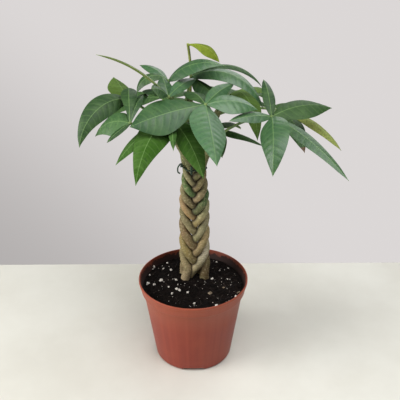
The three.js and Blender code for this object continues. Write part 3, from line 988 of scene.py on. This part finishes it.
# Leaf by leaf: its stem, how far up the stem its stalk leaves, its hub and how far the stalk's bend stands
# off the straight way, its warmth (0 blue-green, 1 grass-green, partly painted light shining through the
# blade), and its leaflets. A leaflet has its heading, length, width, lift, droop, roll and belly, the share
# of its length at which it is widest. Millimetres and degrees.
LEAVES = [
    (4, 0.97, (12, -50, 319), (0, 0, 12), 0.1, [
        (191, 72, 37, -4, 18, 38, 0.57), (276, 83, 35, -8, 18, 19, 0.36), (7, 51, 28, 19, 56, -19, 0.48),
        (55, 50, 14, 22, 31, -38, 0.42), (116, 46, 18, 22, 52, 0, 0.5),
    ]),
    (1, 0.9, (-57, -52, 302), (0, 0, 6), 0.25, [
        (95, 66, 16, 50, 77, 3, 0.59), (75, 63, 10, 42, 70, -3, 0.51), (164, 43, 29, 15, 82, 29, 0.34),
        (242, 39, 7, 4, 21, 2, 0.45),
    ]),
    (1, 0.97, (-62, -8, 308), (0, 0, 8), 0.3, [
        (224, 79, 24, 26, 107, 38, 0.38), (118, 36, 27, 34, 26, -14, 0.45), (170, 46, 18, 10, 60, 0, 0.45),
    ]),
    (3, 0.88, (-22, -35, 321), (0, 0, 8), 0.15, [
        (109, 24, 16, 51, 32, -10, 0.46), (211, 22, 18, 62, 58, 29, 0.53), (53, 45, 12, 26, 39, -34, 0.48),
        (158, 82, 9, 48, 49, -40, 0.45), (125, 48, 18, 10, 40, 0, 0.45),
    ]),
    (2, 0.97, (-23, -8, 327), (0, 0, 4), 0.1, [
        (-10, 60, 22, 54, 71, -22, 0.38), (199, 42, 14, 54, 140, 16, 0.51), (150, 35, 14, 47, 58, 6, 0.48),
    ]),
    (2, 0.9, (-1, 6, 326), (0, 0, 4), 0.2, [
        (-17, 89, 22, 34, 107, -13, 0.35), (16, 85, 11, 34, 95, -13, 0.6), (20, 75, 26, 25, 90, 0, 0.45),
        (-42, 56, 26, -16, 22, 0, 0.45), (50, 80, 24, 10, 50, 0, 0.45),
    ]),
    (4, 0.9, (73, -45, 305), (0, 0, 14), 0.15, [
        (267, 75, 29, 19, 98, -25, 0.42), (24, 68, 30, 21, 46, -16, 0.46), (-47, 98, 15, -4, 32, -11, 0.36),
        (96, 51, 12, 51, 53, 1, 0.42), (202, 44, 14, 18, 30, 28, 0.41),
    ]),
    (0, 0.97, (91, 15, 287), (0, 0, 10), 0.9, [
        (-40, 75, 14, 5, 48, -2, 0.48), (-73, 62, 19, 7, 58, -2, 0.48), (35, 50, 18, 5, 40, 0, 0.45),
        (80, 70, 24, 5, 50, 0, 0.45),
    ]),
    (0, 0.82, (23, 42, 256), (0, 0, 2), 0.6, [
        (-15, 56, 17, 1, 31, 3, 0.36), (-82, 52, 18, 17, 60, 0, 0.45), (60, 70, 20, 5, 50, 0, 0.45),
    ]),
    (1, 0.84, (-20, -25, 294), (0, 0, 4), 0.9, [
        (246, 93, 32, 21, 91, 10, 0.36), (228, 79, 17, 8, 48, 2, 0.46), (-65, 80, 22, 4, 55, -28, 0.5),
        (273, 60, 10, 32, 80, 0, 0.45), (-15, 38, 20, 0, 40, 0, 0.45),
    ]),
    (2, 0.88, (-32, 52, 288), (0, 0, 6), 0.6, [
        (85, 85, 26, 5, 50, 0, 0.45), (135, 90, 28, 5, 50, 0, 0.45), (185, 75, 24, 5, 50, 0, 0.45),
        (45, 50, 18, 10, 40, 0, 0.45), (-28, 58, 22, 12, 40, 0, 0.45),
    ]),
    (0, 0.9, (40, 60, 286), (0, 0, 6), 0.6, [
        (100, 90, 28, 5, 50, 0, 0.45), (55, 90, 28, 5, 50, 0, 0.45), (5, 50, 20, 5, 50, 0, 0.45),
        (150, 45, 18, 25, 40, 0, 0.45), (250, 46, 22, 30, 60, 0, 0.45), (292, 92, 24, 50, 140, 0, 0.5),
        (340, 50, 22, 50, 80, 0, 0.45),
    ]),
    (3, 0.99, (-4, 10, 357), (4, 6, 0), 1.0, [
        (-21, 38, 17, 16, 80, -10, 0.56),
    ]),
]

# The blade is drawn flat once, as a sheet of length and width 1 with its columns drawn in towards the midrib.
bpy.ops.object.select_all(action="DESELECT")
bpy.ops.mesh.primitive_grid_add(x_subdivisions=BLADE_COLUMNS, y_subdivisions=BLADE_ROWS, size=1)
flat_blade = bpy.context.object
flat_blade.name = flat_blade.data.name = "flat_blade"
for vertex in flat_blade.data.vertices:
    across = 2 * vertex.co.x
    vertex.co.x = math.copysign(abs(across) ** 1.5, across)
    vertex.co.y += 0.5


def half_width(along, width, belly):
    """Half the blade's width: slim at its foot, widest at its belly, drawn out to a fine tip."""
    body = math.sin(math.pi * min(1, along) ** (math.log(0.5) / math.log(belly))) ** 1.1
    foot = BLADE_FOOT * (1 - smooth(along, 0.86, 1)) + BLADE_TIP
    return foot + (width / 2 - BLADE_FOOT) * body


def blade_bend(hub, shape):
    """The blade's course: for how far along it, the midrib's place and the directions across and out."""
    heading, length, width, lift, droop, roll, belly = shape
    ahead = Vector((math.cos(math.radians(heading)), math.sin(math.radians(heading)), 0))
    beside = Vector((ahead.y, -ahead.x, 0))
    up = Vector((0, 0, 1))
    start = math.radians(lift)
    bend = math.radians(droop)

    def course(along):
        slope = start - bend * along
        forward = length / 1000 / bend * (math.sin(start) - math.sin(slope))
        rise = length / 1000 / bend * (math.cos(slope) - math.cos(start))
        tangent = ahead * math.cos(slope) + up * math.sin(slope)
        across = beside.copy()
        across.rotate(Quaternion(tangent, -math.radians(roll)))
        return hub + ahead * forward + up * rise, across, across.cross(tangent)

    return course


def leaflet(hub, shape, seed):
    """One blade: the flat one's copy, given its outline, fold, bend, quilting and wave."""
    length, width = shape[1] / 1000, shape[2] / 1000
    course = blade_bend(hub, shape)
    pairs = max(5, round(length / VEIN_SPACING))
    blade = flat_blade.copy()
    blade.data = flat_blade.data.copy()
    bpy.context.scene.collection.objects.link(blade)
    ribs, sides = [], []
    for vertex in blade.data.vertices:
        side_share, along = vertex.co.x, vertex.co.y
        middle, across, outward = course(along)
        half = half_width(along, width, shape[6])
        side = side_share * half
        away = abs(side)
        sweep_back = away * (VEIN_SLANT + VEIN_CURVE * side_share**2)
        rib = pairs * (along - sweep_back / length) + 0.5
        quilt = abs(math.sin(math.pi * rib)) * (1 - abs(side_share) ** 4) * smooth(away, 0, 0.004)
        quilt *= QUILTING * width * smooth(along, 0.04, 0.2) * (1 - smooth(along, 0.8, 1))
        ripple = math.sin(math.tau * (1.7 * along + seed * 0.37) + side_share * 1.2)
        wave = BLADE_WAVE * half * side_share**2 * ripple
        midrib = MIDRIB_HEIGHT * (1 - 0.8 * along) * (1 - smooth(away, 0, MIDRIB_REACH))
        fall = away * math.sin(BLADE_FOLD) * (0.8 + 0.4 * abs(side_share))
        vertex.co = middle + across * (side * math.cos(BLADE_FOLD)) + outward * (quilt + wave + midrib - fall)
        ribs.append(rib)
        sides.append(away)
    mark(blade, "ribs", ribs)
    mark(blade, "side", sides)
    return blade


def keel_radius(along, around):
    """Thinner towards the blade's tip."""
    return KEEL_RADIUS - KEEL_TAPER * along**0.6


def keel(hub, shape):
    """The blade's midrib where it stands out underneath, and the short stalk that joins it to the hub."""
    course = blade_bend(hub, shape)
    places = []
    for step in range(KEEL_STEPS + 1):
        along = KEEL_END * step / KEEL_STEPS
        middle, _, outward = course(along)
        sink = 0.0005 + 0.0004 * (1 - along)
        places.append(middle - outward * sink)
    return rolled("keel", Route(places, 4), keel_radius, 8, 36)


def stalk_route(stem, share, top, bow):
    """The way of a leaf's stalk: in one bend from its foot on the stem to the hub at its top."""
    foot = strand_routes[stem].at(share)
    crook = foot.lerp(top, STALK_BEND) + Vector(bow) / 1000
    places = []
    for step in range(STALK_STEPS + 1):
        t = step / STALK_STEPS
        places.append(foot * (1 - t) ** 2 + crook * 2 * t * (1 - t) + top * t * t)
    return Route(places, 4)


def stalk_radius(along, around):
    """Stouter where the stalk leaves the stem."""
    return STALK_RADIUS * (1.5 - 0.5 * min(1, along * 4))


# Blades are dark and satin above, paler and duller below. The midrib and side veins show light on both.
def blade_finish(name, colours, gloss, roughness, relief):
    """One side of a blade. Its colours are for a cool, a warm and a pale blade, and for the veins; the pale
    is a grey waxy bloom that also paints sheen.
    """
    cool, warm, bloom_sheen, vein = colours
    skin = Finish(name)
    place = skin.place()
    ribs = skin.attribute("ribs")
    side = skin.attribute("side")
    along = skin.part(skin.node("UVMap", {"uv_map": "UVMap"}, output="UV"), "Y")
    clouds = skin.noise(place, 70, 3, 0.55)
    fine = skin.noise(place, 1500, 3, 0.6)
    off_rib = skin.maths("PINGPONG", ribs, 0.5)
    rib = (1 - skin.step(off_rib, 0.02, 0.11)) * (1 - skin.step(side, 0.006, 0.019) * 0.6)
    off_fine_rib = skin.maths("PINGPONG", ribs * 3 + clouds * 0.8, 0.5)
    fine_rib = skin.step(off_fine_rib, 0.3, 0.46)
    midrib = 1 - skin.step(side, 0.0002, 0.0008 - along * 0.0005)
    # Blue-green to grass-green by the warmth: the grass-green is partly painted light shining through the
    # blade.
    colour = skin.mix(skin.attribute("warmth"), cool, warm)
    # Paler and greyer with the bloom: partly the blade's waxy bloom, partly painted sheen.
    colour = skin.mix(skin.attribute("bloom_and_sheen"), colour, bloom_sheen)
    colour = skin.mix(skin.attribute("yellowing"), colour, "8d9247")
    colour = skin.mix(skin.step(clouds, 0.35, 0.7) * 0.2, colour, skin.mix(0.4, vein, colour))
    colour = skin.mix(fine_rib * relief * 0.3, colour, skin.mix(0.5, colour, "10200f"))
    mottle = skin.step(skin.noise(place, 380, 3, 0.6), 0.5, 0.72)
    colour = skin.mix(mottle * relief * 0.5, colour, "0e2210")
    colour = skin.mix(rib * relief * 0.16, colour, vein)
    colour = skin.mix(midrib * 0.38, colour, vein)
    burnt = skin.attribute("burnt")
    burn = skin.step(along + fine * 0.05, 1.04 - burnt, 1.06 - burnt)
    colour = skin.mix(burn, colour, "5b4630")
    cells = skin.node("TexVoronoi", {"feature": "DISTANCE_TO_EDGE"}, Vector=place, Scale=1100.0)
    height = skin.step(cells, 0, 0.25) * 0.3 + fine * 0.4
    skin.feed(
        Base_Color=colour,
        Roughness=roughness + clouds * 0.12 + rib * 0.06 + skin.attribute("warmth") * 0.5,
        Specular_IOR_Level=gloss,
        Coat_Weight=skin.attribute("bloom_and_sheen") * 0.5,
        Coat_Roughness=0.3,
        Normal=skin.node("Bump", Strength=0.2, Distance=0.0002, Height=height),
    )
    return skin.material


def stalk_finish(name, dark, light):
    skin = Finish(name)
    tone = skin.noise(skin.place(), 130, 3)
    skin.feed(
        Base_Color=skin.mix(skin.step(tone, 0.35, 0.7), dark, light),
        Roughness=0.45 + tone * 0.2,
    )
    return skin.material


leaf_face = blade_finish("leaf_face", ("1b391c", "2e5406", "4a744a", "7d9e5c"), 0.42, 0.34, 0.8)
leaf_back = blade_finish("leaf_back", ("3f5c2c", "4d6e1e", "5f7f48", "8fa368"), 0.3, 0.58, 0.9)
young_face = blade_finish("young_leaf_face", ("66761a", "66761a", "94a040", "a0ac4c"), 0.25, 0.5, 0.5)
young_back = blade_finish("young_leaf_back", ("8d9a3a", "8d9a3a", "94a040", "b2bb6c"), 0.3, 0.5, 0.6)
leaf_stalk = stalk_finish("leaf_stalk", "4f6b34", "728549")
young_stalk = stalk_finish("young_leaf_stalk", "7d8642", "98a058")

# Leaflets that differ from their leaf, by the number of the leaf and of the leaflet on it: their warmth, grey
# bloom with painted sheen, yellowing, and the share of their length that is burnt brown. The rest are like
# PLAIN_LEAFLET.
PLAIN_LEAFLET = (0.04, 0, 0)
ODD_LEAFLETS = {
    (1, 1): (0.15, 0.25, 0, 0), (1, 2): (0.1, 0.7, 0, 0), (1, 3): (0.1, 0.65, 0, 0),
    (1, 4): (0.1, 0.55, 0, 0), (1, 5): (0.3, 0, 0, 0), (2, 2): (0.2, 0.2, 0, 0.16),
    (2, 3): (0.6, 0.3, 0, 0), (3, 1): (0.35, 0, 0, 0), (3, 2): (1.0, 0, 0.15, 0),
    (4, 1): (0.15, 0.3, 0, 0), (4, 3): (0.1, 0.7, 0, 0), (4, 4): (0, 0, 0.4, 0),
    (5, 1): (0.1, 0.4, 0, 0), (5, 2): (0.25, 0.1, 0, 0), (5, 3): (0.1, 0.5, 0, 0),
    (6, 1): (0.1, 0.5, 0, 0), (7, 1): (0.15, 0.4, 0, 0), (7, 2): (0.5, 0, 0, 0),
    (7, 3): (0.15, 0.35, 0, 0), (7, 5): (0.1, 0.5, 0, 0), (8, 1): (0.9, 0.1, 0.85, 0),
    (8, 2): (0.5, 0.1, 0, 0.12), (10, 1): (1.2, 0, 0, 0), (10, 2): (0.95, 0, 0, 0),
    (10, 3): (1.1, 0, 0, 0), (12, 6): (1.1, 0, 0.12, 0), (12, 7): (1.0, 0.2, 0.2, 0),
}

for number, (stem, share, hub, bow, warmth, shapes) in enumerate(LEAVES, 1):
    top = Vector(hub) / 1000
    young = number == len(LEAVES)
    face, back = (young_face, young_back) if young else (leaf_face, leaf_back)
    blades = []
    for index, shape in enumerate(shapes, 1):
        blade = leaflet(top, shape, number * 3.1 + index * 1.7)
        tones = ODD_LEAFLETS.get((number, index), (warmth, *PLAIN_LEAFLET))
        for quality, amount in zip(("warmth", "bloom_and_sheen", "yellowing", "burnt"), tones):
            mark(blade, quality, [amount] * len(blade.data.vertices))
        blade.data.materials.append(face)
        blade.data.materials.append(back)
        blades.append(blade)
    leaf = joined(blades)
    leaf.name = leaf.data.name = f"money_leaf_{number:02d}"
    body = leaf.modifiers.new("thickness", "SOLIDIFY")
    body.thickness = BLADE_THICKNESS
    body.offset = -1
    body.material_offset = 1
    body.material_offset_rim = 1
    bpy.ops.object.modifier_apply(modifier="thickness")
    bpy.ops.object.shade_smooth_by_angle(angle=math.radians(50))
    rods = [keel(top, shape) for shape in shapes]
    rods.append(rolled("stalk", stalk_route(stem, share, top, bow), stalk_radius, 12, 48))
    hub_radius = STALK_RADIUS if young else HUB_RADIUS
    bpy.ops.mesh.primitive_uv_sphere_add(segments=16, ring_count=10, radius=hub_radius, location=top)
    boss = bpy.context.object
    bpy.ops.object.transform_apply(location=True)
    bpy.ops.object.shade_smooth()
    rods.append(boss)
    for rod in rods:
        rod.data.materials.append(young_stalk if young else leaf_stalk)
    joined([leaf, *rods])
    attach(leaf, "root")
    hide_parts(f"leaf_{number:02d}")
bpy.data.objects.remove(flat_blade)
